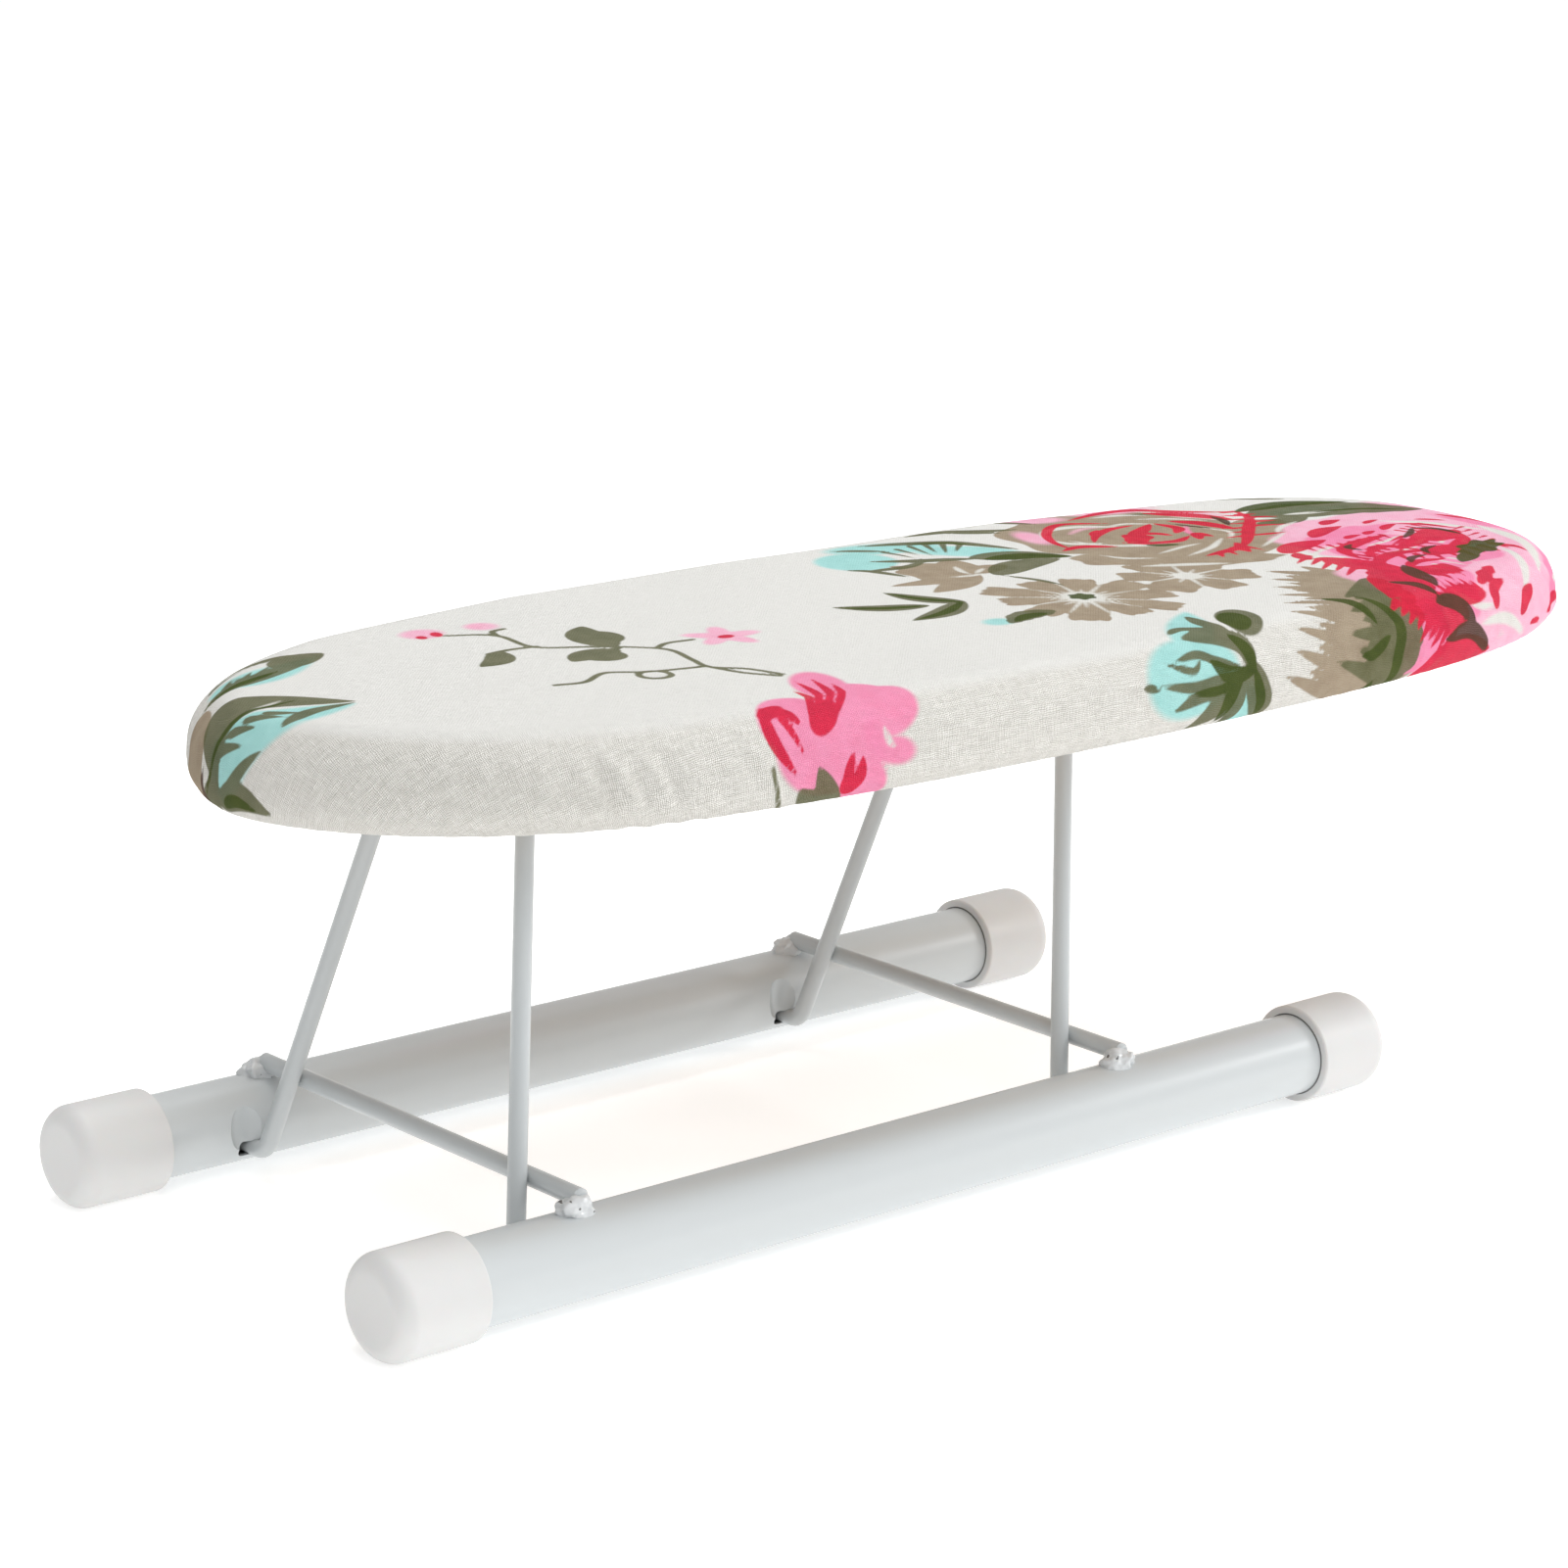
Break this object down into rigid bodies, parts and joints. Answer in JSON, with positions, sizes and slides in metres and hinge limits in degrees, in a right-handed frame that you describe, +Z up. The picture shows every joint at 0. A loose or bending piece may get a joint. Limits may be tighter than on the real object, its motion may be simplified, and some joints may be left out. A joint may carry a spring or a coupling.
{
  "type": "tabletop ironing board",
  "caption": "Small folding tabletop ironing board: a padded, cloth-covered board on bent-wire legs that fold down onto steel foot rails with plastic end caps.",
  "frame": {"origin": "on the floor, at the middle of the overall length and width with the board open", "axes": "+X from the pointed nose to the blunt tail of the board, +Y to the rear, +Z up"},
  "size_m": [0.5146, 0.1848, 0.1587],
  "materials": {
    "rail_paint": "glossy light grey powder coat",
    "wire_paint": "glossy light grey powder coat",
    "cap_plastic": "satin moulded plastic",
    "deck_board": "raw pressed fibre board",
    "pad_foam": "soft open foam",
    "cover_cloth": "plain woven cotton with a printed flower pattern",
    "hem_elastic": "woven elastic",
    "zinc_steel": "bright zinc plating"
  },
  "bodies": {
    "base": {"rail_front": "rail_paint", "rail_rear": "rail_paint", "end_cap_front_left": "cap_plastic", "end_cap_front_right": "cap_plastic", "end_cap_rear_left": "cap_plastic", "end_cap_rear_right": "cap_plastic", "cross_rod_left": "wire_paint", "cross_rod_right": "wire_paint", "weld_saddle_front_left": "wire_paint", "weld_saddle_front_right": "wire_paint", "weld_saddle_rear_left": "wire_paint", "weld_saddle_rear_right": "wire_paint"},
    "left_legs": {"leg_frame_left": "wire_paint"},
    "right_legs": {"leg_frame_right": "wire_paint"},
    "board": {"deck": "deck_board", "pad": "pad_foam", "cover": "cover_cloth", "hem_elastic": "hem_elastic", "leg_clip_left_front": "zinc_steel", "leg_clip_left_rear": "zinc_steel", "leg_clip_right_front": "zinc_steel", "leg_clip_right_rear": "zinc_steel", "clip_screws": "zinc_steel"}
  },
  "joints": [
    {"name": "left_leg_fold", "type": "hinge", "parent": "base", "child": "left_legs", "pos_m": [-0.19725, 0, 0.0092], "axis": [0, -1, 0], "range_deg": [0, 90]},
    {"name": "right_leg_fold", "type": "hinge", "parent": "base", "child": "right_legs", "pos_m": [0.00995, 0, 0.0092], "axis": [0, -1, 0], "range_deg": [0, 90]},
    {"name": "board_level", "type": "hinge", "parent": "left_legs", "child": "board", "pos_m": [-0.17139, 0, 0.1288], "axis": [0, -1, 0], "range_deg": [-90, 0]}
  ],
  "couplings": [
    {"joint": "right_leg_fold", "follows": "left_leg_fold", "ratio": 1},
    {"joint": "board_level", "follows": "left_leg_fold", "ratio": -1}
  ]
}
